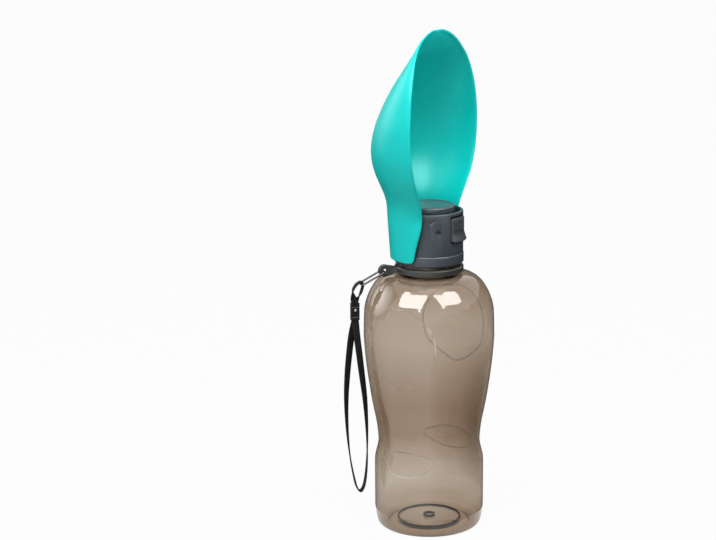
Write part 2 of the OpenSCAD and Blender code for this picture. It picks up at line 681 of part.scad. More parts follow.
// Stations up the trough: height, half width, centre of the section's ellipse,
// depth at the back and line of the rim, both measured from the bottle's axis
trough_stations = let (f = trough_front, w = trough_hw, b = trough_back, s = skirt_r, q = skirt_bot_r) [
    [trough_z0, q, 0, q, 0.8],
    [trough_z0 + 1.4, q + 0.1, 0, q + 0.1, -1.5],
    [trough_z0 + 6.4, lerp(q, s, 0.24), 0, lerp(q, s, 0.24), -2.6],
    [lerp(trough_z0, skirt_top, 0.5), lerp(q, s, 0.54), 0, lerp(q, s, 0.54), -4.9],
    [lerp(trough_z0, skirt_top, 0.76), lerp(q, s, 0.8), 0, lerp(q, s, 0.8), -7.1],
    [skirt_top, s, 0, s, -8],
    [skirt_top + 0.07 * rise, lerp(s, w, 0.15), -0.26 * f, lerp(s, b, 0.03), -9.2],
    [skirt_top + 0.14 * rise, lerp(s, w, 0.41), -0.48 * f, lerp(s, b, 0.3), -10.1],
    [skirt_top + 0.205 * rise, lerp(s, w, 0.645), -0.62 * f, lerp(s, b, 0.65), -0.97 * f],
    [skirt_top + 0.273 * rise, lerp(s, w, 0.81), -0.72 * f, lerp(s, b, 0.92), -0.98 * f],
    [skirt_top + 0.34 * rise, lerp(s, w, 0.92), -0.84 * f, b, -0.99 * f],
    [skirt_top + 0.41 * rise, lerp(s, w, 0.975), -0.96 * f, b - 1, -f],
    [skirt_top + 0.48 * rise, w, -f, b - 3.6, -f],
    [skirt_top + 0.55 * rise, w - 0.4, -f, 0.8 * b, -f],
    [skirt_top + 0.685 * rise, 0.94 * w, -0.96 * f, 0.545 * b, -0.96 * f],
    [skirt_top + 0.82 * rise, 0.81 * w, -0.83 * f, 0.2 * b, -0.83 * f],
    [skirt_top + 0.885 * rise, 0.69 * w, -0.71 * f, 0.015 * b, -0.71 * f],
    [skirt_top + 0.945 * rise, 0.52 * w, -0.62 * f, -0.09 * b, -0.62 * f],
    [skirt_top + 0.985 * rise, 0.29 * w, -0.57 * f, -0.137 * b, -0.57 * f],
    [trough_tip, 0.1 * w, -0.55 * f, -0.155 * b, -0.55 * f]];

// Size of the inner surface under an outer one of size v, so that the wall
// stays near trough_wall and both close at the tip
function under(v) = v * v / (v + trough_wall);

module trough() {
    rows = curve(trough_stations, 2);
    n = 32;
    m = 2 * (n + 1) + 2;
    last = len(rows) - 1;
    // each row is one closed ring: outer arc, rim bead, inner arc, rim bead
    points = [for (r = rows)
        let (z = r[0], a = r[1], c = r[2], b = r[3] - r[2], y = r[4],
             ai = under(a), bi = under(b), zi = z - trough_wall * pow((z - trough_z0) / (trough_tip - trough_z0), 3),
             t0 = asin(max(-0.99, min(0.99, (y - c) / b))), t1 = asin(max(-0.99, min(0.99, (y - c) / bi))),
             bead = 0.45)
        each concat(
            [for (k = [0 : n]) let (t = lerp(t0, 180 - t0, k / n)) [a * cos(t), c + b * sin(t), z]],
            [[-(a * cos(t0) + ai * cos(t1)) / 2, y - bead, (z + zi) / 2]],
            [for (k = [n : -1 : 0]) let (t = lerp(t1, 180 - t1, k / n)) [ai * cos(t), c + bi * sin(t), zi]],
            [[(a * cos(t0) + ai * cos(t1)) / 2, y - bead, (z + zi) / 2]])];
    // flat strips that close the ring at the bottom and at the tip
    function lid(i, up) = [for (k = [0 : n - 1])
        let (o = i * m + k, o2 = o + 1, q = i * m + 2 * n + 2 - k, q2 = q - 1)
        each (up ? [[o, q2, o2], [o, q, q2]] : [[o, o2, q2], [o, q2, q]])];
    function ends(i, up) = let (a = i * m + n, b = i * m + n + 1, c = i * m + n + 2,
                                d = i * m, e = i * m + m - 1, f = i * m + m - 2)
        up ? [[a, c, b], [f, d, e]] : [[a, b, c], [f, e, d]];
    color([0.1, 0.78, 0.75])
    polyhedron(points = points, faces = concat(
        tube_faces(last + 1, m), lid(0, false), ends(0, false), lid(last, true), ends(last, true)), convexity = 10);
}

// Pins set in the collar's ears, running in the cap's sockets
module trough_pivot(s) {
    x0 = shell_in_r - 2.6;
    x1 = lerp(skirt_bot_r, skirt_r, 0.76) - 0.6;
    color([0.1, 0.7, 0.68]) translate([s * x0, 0, pivot_z]) rotate([0, s * 90, 0])
        cylinder(r = pivot_r, h = x1 - x0);
}
module trough_pin_left() { trough_pivot(-1); }
module trough_pin_right() { trough_pivot(1); }

bottle();
lanyard_ring();
wire_link();
strap_small_loop();
strap_crimp();
crimp_rivet();
strap_hand_loop();
cap_base();
cap_gasket();
vent_valve();
cap_head();
lever_pin();
valve_spring();
valve_stem();
stem_collar();
valve_seal();
spout_disc();
lever();
trough();
trough_pin_left();
trough_pin_right();
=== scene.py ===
# %% [markdown]
# # A dog's travel water bottle
#
# The real object is a smoky clear bottle. Its cap carries a spring valve with
# a thumb lever, and a teal drinking trough that swings over the cap on two
# pins. A webbing loop hangs from a plastic ring round the neck.
#
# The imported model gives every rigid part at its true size, so this lesson
# starts from it and adds what makes the parts look real: soft webbing, screw
# threads, raised outlines on the bottle, finishes, and a small photo studio.

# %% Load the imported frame
import math

import bmesh
import bpy
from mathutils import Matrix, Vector


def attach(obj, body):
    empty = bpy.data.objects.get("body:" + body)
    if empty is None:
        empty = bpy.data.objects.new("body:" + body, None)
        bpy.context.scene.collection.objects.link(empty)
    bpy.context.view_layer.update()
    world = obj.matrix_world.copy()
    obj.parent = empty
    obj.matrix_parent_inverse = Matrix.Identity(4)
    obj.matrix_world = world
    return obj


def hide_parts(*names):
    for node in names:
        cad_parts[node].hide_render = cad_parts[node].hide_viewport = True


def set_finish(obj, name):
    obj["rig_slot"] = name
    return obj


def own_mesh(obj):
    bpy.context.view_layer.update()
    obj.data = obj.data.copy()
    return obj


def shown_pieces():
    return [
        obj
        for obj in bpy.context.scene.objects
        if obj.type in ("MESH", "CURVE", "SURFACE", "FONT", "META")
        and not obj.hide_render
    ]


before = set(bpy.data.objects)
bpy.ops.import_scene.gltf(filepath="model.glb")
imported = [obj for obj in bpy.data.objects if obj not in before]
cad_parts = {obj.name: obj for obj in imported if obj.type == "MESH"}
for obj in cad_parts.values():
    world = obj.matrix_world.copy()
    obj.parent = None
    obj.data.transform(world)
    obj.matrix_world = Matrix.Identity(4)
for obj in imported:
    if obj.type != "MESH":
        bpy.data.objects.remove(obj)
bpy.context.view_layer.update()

MM = 0.001


# %% [markdown]
# ## Small tools
#
# Blender's edit operators act on whatever is selected, and loading leaves the
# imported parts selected. So one helper clears the selection before each new
# piece, and another runs an operator in edit mode on one piece only.

# %% Selection helpers
def start_clean():
    """Nothing is selected and nothing is being edited."""
    if bpy.context.object and bpy.context.object.mode != "OBJECT":
        bpy.ops.object.mode_set(mode="OBJECT")
    bpy.ops.object.select_all(action="DESELECT")


def pick(piece):
    """Only this piece is selected."""
    start_clean()
    piece.select_set(True)
    bpy.context.view_layer.objects.active = piece


def apply_all(piece):
    """Bakes every modifier into the mesh, in order."""
    pick(piece)
    for modifier in list(piece.modifiers):
        bpy.ops.object.modifier_apply(modifier=modifier.name)


def close_seams(piece, gap=0.00001):
    """Joins doubled points, then turns all faces outwards."""
    pick(piece)
    bpy.ops.object.mode_set(mode="EDIT")
    bpy.ops.mesh.select_all(action="SELECT")
    bpy.ops.mesh.remove_doubles(threshold=gap)
    bpy.ops.mesh.normals_make_consistent(inside=False)
    bpy.ops.object.mode_set(mode="OBJECT")


def place_in_mesh(piece):
    """The object goes to the origin; its place moves into its mesh."""
    pick(piece)
    bpy.ops.object.transform_apply(location=True, rotation=True, scale=True)


def report(piece):
    size = piece.dimensions / MM
    print(f"{piece.name}: {len(piece.data.polygons)} faces, "
          f"{size.x:.1f} x {size.y:.1f} x {size.z:.1f} mm")


# %% [markdown]
# ## Materials as sums
#
# A finish is worked out by nodes. Typing them one by one hides the idea, so a
# small class wraps an output socket and lets plain arithmetic add the Math
# nodes. Every other kind of node comes from one method, `node`.

# %% A socket that can be added and multiplied
class Flow:
    """A number or colour that varies over a surface."""

    def __init__(self, tree, socket=None):
        self.tree = tree
        self.socket = socket

    def node(self, kind, settings=None, sockets=None, output=0):
        """Adds one node: settings first, then values or links."""
        made = self.tree.nodes.new(kind)
        for name, value in (settings or {}).items():
            if name == "stops":
                ramp = made.color_ramp.elements
                while len(ramp) < len(value):
                    ramp.new(0.5)
                for element, (place, colour) in zip(ramp, value):
                    element.position = place
                    element.color = (*colour, 1.0)
            else:
                setattr(made, name, value)
        for name, value in (sockets or {}).items():
            if isinstance(value, Flow):
                self.tree.links.new(value.socket, made.inputs[name])
            else:
                made.inputs[name].default_value = value
        return Flow(self.tree, made.outputs[output])

    def maths(self, operation, first, second=0.0):
        return self.node("ShaderNodeMath", {"operation": operation},
                         {0: first, 1: second})

    def __add__(self, other):
        return self.maths("ADD", self, other)

    __radd__ = __add__

    def __sub__(self, other):
        return self.maths("SUBTRACT", self, other)

    def __rsub__(self, other):
        return self.maths("SUBTRACT", other, self)

    def __mul__(self, other):
        return self.maths("MULTIPLY", self, other)

    __rmul__ = __mul__

    def sine(self):
        return self.maths("SINE", self)

    def clamp(self):
        return self.node("ShaderNodeClamp", None, {"Value": self})

    def other(self, name):
        """Another output of the same node, by its name."""
        return Flow(self.tree, self.socket.node.outputs[name])


# %% [markdown]
# Most parts are moulded plastic. Its colour is never quite even, its gloss
# changes a little from place to place, and a fine grain from the mould breaks
# up the highlights. One recipe makes all of these, and each part brings its
# own numbers.

# %% One recipe for a solid finish
def new_material(name):
    material = bpy.data.materials.new(name)
    material.use_nodes = True
    material.node_tree.nodes.clear()
    return material, Flow(material.node_tree)


def end_in(flow, result, kind="ShaderNodeOutputMaterial"):
    """The tree ends in an output node that shows this shader."""
    output = flow.tree.nodes.new(kind)
    flow.tree.links.new(result.socket, output.inputs["Surface"])
    return output


def finish_surface(flow, constants, **links):
    """Adds the shader: constants on its own sockets, then what varies."""
    shader = flow.node("ShaderNodeBsdfPrincipled")
    for name, value in constants.items():
        shader.socket.node.inputs[name].default_value = value
    for name, value in links.items():
        flow.tree.links.new(
            value.socket, shader.socket.node.inputs[name.replace("_", " ")])
    return end_in(flow, shader)


OBJECT_OUTPUT = 3       # of a Texture Coordinate node


def object_place(flow):
    """Object coordinates, which stay with the piece when it moves."""
    return flow.node("ShaderNodeTexCoord", output=OBJECT_OUTPUT)


def noise(flow, place, scale, detail=2.0, roughness=0.5):
    return flow.node("ShaderNodeTexNoise", None,
                     {"Vector": place, "Scale": scale, "Detail": detail,
                      "Roughness": roughness})


def two_tones(flow, amount, dark, light):
    return flow.node("ShaderNodeMix", {"data_type": "RGBA"},
                     {0: amount, 6: (*dark, 1.0), 7: (*light, 1.0)}, output=2)


def raised(flow, height, depth, strength=1.0):
    return flow.node("ShaderNodeBump", None,
                     {"Strength": strength, "Distance": depth,
                      "Height": height})


def moulded(name, dark, light, gloss, grain=900.0, depth=0.00006,
            constants=None):
    """Moulded plastic or metal: cloudy colour, uneven gloss, fine grain."""
    material, flow = new_material(name)
    place = object_place(flow)
    clouds = noise(flow, place, 34.0, 3.0)
    specks = noise(flow, place, grain, 2.0)
    colour = two_tones(flow, (clouds * 0.75 + specks * 0.25).clamp(),
                       dark, light)
    rough = gloss + (clouds - 0.5) * 0.12 + (specks - 0.5) * 0.06
    finish_surface(flow, constants or {}, Base_Color=colour,
                   Roughness=rough, Normal=raised(flow, specks, depth))
    return material


# %% [markdown]
# ## The camera
#
# The photo looks at the bottle from its left front, a little from above. A
# long lens keeps the sides nearly parallel, as product photos have them. The
# bottle stands right of the picture's middle, which a small lens shift gives
# without turning the camera.

# %% Place the camera
VIEW_TURN, VIEW_RISE = -62.0, 12.9      # degrees


def add_camera(target, azimuth, elevation, distance, lens, shift):
    start_clean()
    turn, rise = math.radians(azimuth), math.radians(elevation)
    back = Vector((math.sin(turn) * math.cos(rise),
                   -math.cos(turn) * math.cos(rise), math.sin(rise)))
    bpy.ops.object.camera_add(location=target + back * distance)
    camera = bpy.context.object
    camera.name = "photo_camera"
    camera.rotation_euler = (-back).to_track_quat("-Z", "Y").to_euler()
    camera.data.sensor_width = 36.0
    camera.data.lens = lens
    camera.data.shift_x = shift
    camera.data.clip_start = 0.05
    bpy.context.scene.camera = camera
    return camera


bpy.context.scene.view_settings.view_transform = "Standard"
camera = add_camera(Vector((0, 0, 0.171)), VIEW_TURN, VIEW_RISE,
                    distance=1.163, lens=90.65, shift=-0.0992)
print("camera at", [round(x, 3) for x in camera.location])

# %% [markdown]
# ## The webbing
#
# The carry loop is black webbing, 4.6 mm wide and 0.9 mm thick. It leaves the
# crimp at its lower end, hangs in a long loop and comes back into the crimp.
# A shorter loop goes from the crimp's top over the wire link. Both could be
# curves with a bevel, but flat webbing also has to turn about its own line, so
# a mesh is swept along the route and its width is turned point by point.

# %% Smooth lines through points
def smooth_line(points, steps=10):
    """Catmull-Rom line through the points, ends included."""
    line = []
    last = len(points) - 1
    for i in range(last):
        before, a, b, after = (points[max(0, min(last, k))]
                               for k in (i - 1, i, i + 1, i + 2))
        for j in range(steps):
            t = j / steps
            line.append([
                0.5 * (2 * q + (r - p) * t
                       + (2 * p - 5 * q + 4 * r - s) * t * t
                       + (3 * q - p - 3 * r + s) * t ** 3)
                for p, q, r, s in zip(before, a, b, after)])
    line.append(list(points[-1]))
    return line


# %% The routes, from the crimp outwards, in millimetres and degrees
STRAP_TURN = math.radians(134.0)    # where the ring's arm points
WEB_HALF, WEB_THICK = 2.3, 0.45     # half of the webbing's width and thickness
CRIMP_X, CRIMP_LOW, CRIMP_HIGH = 49.4, 141.4, 152.4
HANG_X, HANG_Z = 45.259, 164.623    # the link's lower bar
LAY = 0.51                          # the two ends lie side by side
OVER = 1.4                          # the webbing's line above the bar

link_loop_route = [
    [CRIMP_X, -LAY, CRIMP_HIGH, 90], [49.7, -LAY - 0.1, 154.0, 84],
    [50.6, -0.4, 157.0, 45], [50.7, -0.1, 160.5, 8], [48.8, 0, 164.0, 0],
    [HANG_X + OVER * 0.95, 0, HANG_Z + OVER * 0.75, 0],
    [HANG_X, 0, HANG_Z + OVER * 1.04, 0],
    [HANG_X - OVER * 0.98, 0, HANG_Z + OVER * 0.4, 0],
    [44.6, 0, 161.4, 0], [45.9, 0.1, 158.2, 8], [47.6, 0.4, 155.4, 45],
    [49.1, LAY + 0.1, 153.8, 84], [CRIMP_X, LAY, CRIMP_HIGH, 90]]
hand_loop_route = [
    [CRIMP_X, -LAY, CRIMP_LOW, 90], [49.7, -LAY - 0.1, 139.4, 88],
    [51.5, -1.2, 131, 80], [52.9, -2.4, 118, 74], [54.1, -3, 104, 64],
    [54.9, -3, 90, 50], [55, -2.4, 76, 36], [54.5, -1.4, 62, 22],
    [53.2, -0.6, 48, 10], [51.2, 0, 36, 3], [49.3, 0, 28.5, 0],
    [46.9, 0, 25.4, 0], [44.6, 0, 28.5, 0], [43.1, 0, 36, 3],
    [42.3, 0.6, 48, 10], [42.3, 1.4, 62, 22], [43, 2.4, 76, 36],
    [44.1, 3, 90, 50], [45.7, 3, 104, 64], [47.2, 2.4, 118, 74],
    [48.5, 1.2, 131, 80], [49.2, LAY + 0.1, 139.4, 88],
    [CRIMP_X, LAY, CRIMP_LOW, 90]]


# %% Sweep the webbing
def in_the_frame(x, y, z):
    """From the strap's own directions to the frame's, in metres."""
    c, s = math.cos(STRAP_TURN), math.sin(STRAP_TURN)
    return Vector((c * x - s * y, s * x + c * y, z)) * MM


def piece_from(mesh, name):
    """Turns a finished bmesh into an object, its faces outwards."""
    bmesh.ops.recalc_face_normals(mesh, faces=mesh.faces)
    data = bpy.data.meshes.new(name)
    mesh.to_mesh(data)
    mesh.free()
    piece = bpy.data.objects.new(name, data)
    bpy.context.scene.collection.objects.link(piece)
    return piece


WEB_SECTION = [(1, 0.35), (0.95, 0.8), (0.86, 1), (0.4, 1.04), (0, 1),
               (-0.4, 1.04), (-0.86, 1), (-0.95, 0.8), (-1, 0.35),
               (-1, -0.35), (-0.95, -0.8), (-0.86, -1), (-0.4, -1.04), (0, -1),
               (0.4, -1.04), (0.86, -1), (0.95, -0.8), (1, -0.35)]


def sweep_webbing(name, route, steps):
    """A closed band that follows the route and turns as the route says."""
    line = smooth_line(route, steps)
    centres = [in_the_frame(*p[:3]) for p in line]
    mesh = bmesh.new()
    uv = mesh.loops.layers.uv.new("weave")
    rings, along = [], [0.0]
    for i, point in enumerate(line):
        ahead = centres[min(i + 1, len(line) - 1)]
        behind = centres[max(i - 1, 0)]
        heading = (ahead - behind).normalized()
        turn = math.radians(point[3])
        across = (in_the_frame(math.sin(turn), math.cos(turn), 0) / MM)
        across = (across - heading * across.dot(heading)).normalized()
        outwards = heading.cross(across)
        rings.append([
            mesh.verts.new(centres[i] + across * (u * WEB_HALF * MM)
                           + outwards * (v * WEB_THICK * MM))
            for u, v in WEB_SECTION])
        if i:
            along.append(along[-1] + (centres[i] - centres[i - 1]).length)
    count = len(WEB_SECTION)
    for i in range(len(rings) - 1):
        for k in range(count):
            n = (k + 1) % count
            face = mesh.faces.new((rings[i][k], rings[i][n],
                                   rings[i + 1][n], rings[i + 1][k]))
            face.smooth = True
            spots = ((i, k), (i, n), (i + 1, n), (i + 1, k))
            for loop, (row, column) in zip(face.loops, spots):
                loop[uv].uv = (along[row] / MM,
                               WEB_SECTION[column][0] * WEB_HALF)
    mesh.faces.new(list(reversed(rings[0])))
    mesh.faces.new(rings[-1])
    piece = piece_from(mesh, name)
    print(f"{name}: {along[-1] / MM:.1f} mm of webbing, "
          f"{len(piece.data.polygons)} faces")
    return piece, centres, along[-1]


def hang_webbing(name, node, route, steps):
    piece, centres, length = sweep_webbing(name, route, steps)
    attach(piece, "strap")
    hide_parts(node)
    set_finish(piece, "webbing")


# %% [markdown]
# The crimp is closed by a small metal rivet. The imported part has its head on
# the far side; this head is its other end, on the side that faces the photo.
# A cylinder is turned to face outwards, and a bevel makes it a low button.

# %% The rivet's front head
def add_rivet_head(x, y, z, radius, height):
    """A button on the crimp; x, y, z in the strap's own millimetres."""
    start_clean()
    bpy.ops.mesh.primitive_cylinder_add(
        vertices=32, radius=radius * MM, depth=height * MM,
        location=in_the_frame(x, y, z),
        rotation=(math.pi / 2, 0, STRAP_TURN))
    head = bpy.context.object
    head.name = "rivet_head"
    place_in_mesh(head)
    rounding = head.modifiers.new("button", "BEVEL")
    rounding.width = 0.45 * height * MM
    rounding.segments = 4
    rounding.limit_method = "ANGLE"
    apply_all(head)
    pick(head)
    bpy.ops.object.shade_smooth_by_angle(angle=math.radians(40))
    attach(head, "strap")
    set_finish(head, "rivet")
    report(head)
    return head


RIVET_OUT, RIVET_UP = 1.85, 148.0   # in front of the crimp's middle; height
rivet_head = add_rivet_head(CRIMP_X, RIVET_OUT, RIVET_UP,
                            radius=0.85, height=0.5)
hang_webbing("hand_loop_webbing", "strap_hand_loop", hand_loop_route, 12)
hang_webbing("link_loop_webbing", "strap_small_loop", link_loop_route, 10)

# %% [markdown]
# ## The bottle's raised outlines
#
# Each broad side of the bottle has a thin raised line in the shape of an egg,
# and a small half-round panel line near the base. In a mould this is a shallow
# groove. Sculpting it into the wall would need a very dense mesh, so a fine
# bead is swept round instead, a hundredth of a millimetre off the wall.

# %% Measure the bottle's side
bottle_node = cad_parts["bottle"]
OUTSIDE_FROM = 17.0     # mm: nearer to the axis is the bottle's inside

def side_profile(node):
    """(height, outer radius) pairs of a round part, from its own points."""
    best = {}
    for vertex in node.data.vertices:
        height = round(vertex.co.z / MM, 1)
        radius = math.hypot(vertex.co.x, vertex.co.y) / MM
        best[height] = max(best.get(height, 0.0), radius)
    return sorted((z, r) for z, r in best.items() if r > OUTSIDE_FROM)


bottle_side = side_profile(bottle_node)


def side_radius(height):
    below = max(level for level in bottle_side if level[0] <= height)
    above = min(level for level in bottle_side if level[0] >= height)
    if above[0] - below[0] < 1e-6:
        return below[1]
    share = (height - below[0]) / (above[0] - below[0])
    return below[1] + share * (above[1] - below[1])


for height in (50.0, 101.3, 128.5, 153.2):
    print(f"bottle radius at {height}: {side_radius(height):.2f}")


# %% Lay a low bead along an outline
BEAD_WIDTH, BEAD_HEIGHT, BEAD_GAP = 0.46, 0.06, 0.01    # mm
END_POINTS, END_HEIGHT = 8, 0.15    # an open bead rises over its end points
BEAD_SECTION = [(-1, 0), (-0.82, 0.45), (-0.45, 0.88), (0, 1), (0.45, 0.88),
                (0.82, 0.45), (1, 0)]


def lay_bead(name, outline, side, scale=1.0, closed=True):
    """A low bead on the bottle's wall. outline: (degrees, height) points."""
    line = smooth_line(outline + outline[:1] if closed else outline, 6)
    if closed:
        line = line[:-1]
    centres = []
    for angle, height in line:
        r = side_radius(height) + BEAD_GAP
        turn = math.radians(angle) + (0 if side > 0 else math.pi)
        centres.append(Vector((r * math.cos(turn), r * math.sin(turn),
                               height)) * MM)
    mesh = bmesh.new()
    count, rings, last = len(BEAD_SECTION), [], len(centres) - 1
    for i, centre in enumerate(centres):
        ahead = centres[(i + 1) % (last + 1) if closed else min(i + 1, last)]
        behind = centres[i - 1 if closed else max(i - 1, 0)]
        heading = (ahead - behind).normalized()
        outwards = Vector((centre.x, centre.y, 0)).normalized()
        across = heading.cross(outwards).normalized()
        outwards = across.cross(heading)
        from_end = min(i, last - i) / END_POINTS
        taper = 1.0 if closed else min(1.0, END_HEIGHT + from_end)
        rings.append([
            mesh.verts.new(centre + (across * u * BEAD_WIDTH
                                     + outwards * v * BEAD_HEIGHT * taper)
                           * scale * MM) for u, v in BEAD_SECTION])
    for i in range(last + 1 if closed else last):
        j = (i + 1) % (last + 1)
        for k in range(count):
            n = (k + 1) % count
            mesh.faces.new((rings[i][k], rings[i][n],
                            rings[j][n], rings[j][k])).smooth = n > 0
    if not closed:
        mesh.faces.new(list(reversed(rings[0])))
        mesh.faces.new(rings[-1])
    piece = piece_from(mesh, name)
    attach(piece, "bottle")
    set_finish(piece, "bottle")
    beads.append(piece)
    report(piece)


beads = []
half_egg = [(0, 153.2), (10, 152.3), (19, 148.8), (26.5, 143.3), (31.8, 136.5),
            (33.6, 128.5), (32.2, 120), (27.8, 113.8), (21.3, 109.4),
            (13, 105), (6, 102.2)]
egg = half_egg + [(0, 101.3)] + [(-a, z) for a, z in reversed(half_egg[1:])]
low_half = [(0, 56.8), (14, 56.2), (26, 54.6), (33.5, 52.6)]
low_line = [(-a, z) for a, z in reversed(low_half[1:])] + low_half
low_arc_half = [(34.5, 50.6), (31, 48.4), (23, 44.8), (14, 42.2), (0, 41.0)]
low_arc = low_arc_half + [(-a, z) for a, z in reversed(low_arc_half[:-1])]

for side, word in ((-1, "left"), (1, "right")):
    lay_bead(f"outline_{word}", egg, side)
    lay_bead(f"panel_line_{word}", low_line, side, 0.9, closed=False)
    lay_bead(f"panel_arc_{word}", low_arc, side, 0.8, closed=False)

# %% [markdown]
# In the base, a short wall runs round the raised middle, and a small ring marks
# where the plastic was fed into the mould. Both get a near-black opaque finish,
# so they show as dark rings through the clear wall. Each is a circle whose edge
# is extruded into a wall and given its thickness by a Solidify modifier.

# %% The rings of the base
def add_base_wall(name, radius, top, height, thickness):
    start_clean()
    bpy.ops.mesh.primitive_circle_add(vertices=96, radius=radius * MM,
                                      location=(0, 0, top * MM))
    wall = bpy.context.object
    wall.name = name
    place_in_mesh(wall)
    pick(wall)
    bpy.ops.object.mode_set(mode="EDIT")
    bpy.ops.mesh.select_all(action="SELECT")
    bpy.ops.mesh.extrude_edges_move(
        TRANSFORM_OT_translate={"value": (0, 0, -height * MM)})
    bpy.ops.mesh.select_all(action="SELECT")
    bpy.ops.mesh.normals_make_consistent(inside=False)
    bpy.ops.object.mode_set(mode="OBJECT")
    thick = wall.modifiers.new("thickness", "SOLIDIFY")
    thick.thickness = thickness * MM
    thick.offset = 0.0
    soft = wall.modifiers.new("soft_edges", "BEVEL")
    soft.width = 0.25 * thickness * MM
    soft.segments = 2
    soft.limit_method = "ANGLE"
    apply_all(wall)
    pick(wall)
    bpy.ops.object.shade_smooth_by_angle(angle=math.radians(50))
    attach(wall, "bottle")
    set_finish(wall, "bottle")
    report(wall)
    return wall


base_walls = [add_base_wall("base_ring", radius=20.3, top=4.3, height=2.6,
                            thickness=1.2),
              add_base_wall("base_feed_mark", radius=3.5, top=5.4, height=1.7,
                            thickness=0.9)]

# %% [markdown]
# ## The screw threads
#
# The cap rises 4.2 mm a turn, so neck and cap carry a right-handed thread of
# that pitch. A plane is shaped into the ridge's cross-section, and a Screw
# modifier winds it up. The ridge's two ends fade into the wall, as moulded
# threads do.

# %% Wind one thread
PITCH, RIDGE_STEPS = 4.2, 64
FOOT_HALF, CREST_HALF = 0.85, 0.35      # half the ridge's width, mm
FADE_TURN = math.radians(35)            # how far its ends fade


def wind_thread(name, body, slot, root, crest, start, turns, phase):
    """A ridge from radius root to crest, starting at height start."""
    start_clean()
    bpy.ops.mesh.primitive_plane_add(size=1)
    ridge = bpy.context.object
    ridge.name = name
    corners = [(root, -FOOT_HALF), (root, FOOT_HALF),
               (crest, -CREST_HALF), (crest, CREST_HALF)]
    for vertex in ridge.data.vertices:
        inner, low = vertex.co.x < 0, vertex.co.y < 0
        x, z = corners[(0 if inner else 2) + (0 if low else 1)]
        vertex.co = (x * MM, 0, (start + z) * MM)
    winding = ridge.modifiers.new("winding", "SCREW")
    winding.axis = "Z"
    winding.angle = 2 * math.pi * turns
    winding.screw_offset = PITCH * turns * MM
    winding.steps = winding.render_steps = int(RIDGE_STEPS * turns)
    winding.use_smooth_shade = False
    apply_all(ridge)
    for vertex in ridge.data.vertices:
        x, y, z = vertex.co
        turned = math.atan2(y, x)
        rise = z / MM - start
        lap = round((rise / PITCH) - turned / (2 * math.pi))
        went = (lap + turned / (2 * math.pi)) * 2 * math.pi
        from_end = min(went, 2 * math.pi * turns - went)
        fade = max(0.0, min(1.0, from_end / FADE_TURN))
        r = math.hypot(x, y) / MM
        r = root + (r - root) * math.sin(fade * math.pi / 2)
        middle = start + went / (2 * math.pi) * PITCH
        z_new = middle + (z / MM - middle) * max(fade, 0.0001)
        spin = math.radians(phase) + turned
        vertex.co = (r * math.cos(spin) * MM, r * math.sin(spin) * MM,
                     z_new * MM)
    close_seams(ridge, 0.000002)
    pick(ridge)
    bpy.ops.object.shade_smooth_by_angle(angle=math.radians(35))
    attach(ridge, body)
    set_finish(ridge, slot)
    report(ridge)


wind_thread("neck_thread", "bottle", "bottle", root=17.3, crest=18.55,
            start=179.6, turns=1.85, phase=200)
wind_thread("cap_thread", "cap", "cap", root=19.15, crest=17.95,
            start=181.7, turns=1.6, phase=200)

# %% [markdown]
# ## The trough
#
# The trough is one soft-edged moulding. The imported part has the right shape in
# flat facets, so a copy of its mesh is taken, its doubled points are joined,
# and one level of Subdivision Surface rounds it. Rebuilding the same loft by
# hand would only risk leaving the true size.

# %% Copy and round the trough
def copy_of_part(name, node):
    """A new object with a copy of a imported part's mesh."""
    piece = bpy.data.objects.new(name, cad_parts[node].data.copy())
    bpy.context.scene.collection.objects.link(piece)
    return piece


def drop_stored_normals(piece):
    """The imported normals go, so that the new shading counts."""
    if piece.data.has_custom_normals:
        bpy.ops.mesh.customdata_custom_splitnormals_clear()


def rounded_copy(name, node, body, slot):
    piece = copy_of_part(name, node)
    close_seams(piece, gap=0.00002)
    bpy.ops.object.mode_set(mode="EDIT")
    bpy.ops.mesh.select_all(action="SELECT")
    bpy.ops.mesh.tris_convert_to_quads(face_threshold=math.radians(60),
                                       shape_threshold=math.radians(60))
    bpy.ops.object.mode_set(mode="OBJECT")
    rounding = piece.modifiers.new("rounding", "SUBSURF")
    rounding.levels = rounding.render_levels = 1
    apply_all(piece)
    pick(piece)
    bpy.ops.object.shade_smooth()
    drop_stored_normals(piece)
    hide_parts(node)
    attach(piece, body)
    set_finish(piece, slot)
    report(piece)


rounded_copy("trough_shell", "trough", "trough", "trough")

# %% [markdown]
# ## Softened edges
#
# Moulded parts have no knife edges; each corner has a small radius that
# catches a thin line of light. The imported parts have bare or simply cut
# corners, so the parts that show are copied, their doubled points joined,
# their flat faces merged, and a Bevel modifier rounds every sharp edge.

# %% Bevel copies of the parts that show
SHARP_FROM = math.radians(28)       # an edge as sharp as this is rounded


def softened_copy(name, node, body, slot, width):
    piece = copy_of_part(name, node)
    close_seams(piece)
    bpy.ops.object.mode_set(mode="EDIT")
    bpy.ops.mesh.select_all(action="SELECT")
    bpy.ops.mesh.dissolve_limited(angle_limit=math.radians(0.5))
    bpy.ops.object.mode_set(mode="OBJECT")
    drop_stored_normals(piece)
    edge = piece.modifiers.new("soft_edges", "BEVEL")
    edge.width = width * MM
    edge.segments = 3
    edge.limit_method = "ANGLE"
    edge.angle_limit = SHARP_FROM
    apply_all(piece)
    pick(piece)
    bpy.ops.object.shade_smooth_by_angle(angle=math.radians(40))
    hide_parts(node)
    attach(piece, body)
    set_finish(piece, slot)
    report(piece)


softened_copy("ring_shell", "lanyard_ring", "neck_ring", "ring", 0.5)
softened_copy("band_shell", "cap_base", "cap", "cap", 0.3)
softened_copy("head_shell", "cap_head", "cap", "cap", 0.3)
softened_copy("lever_shell", "lever", "lever", "lever", 0.25)
softened_copy("disc_shell", "spout_disc", "valve", "disc", 0.3)
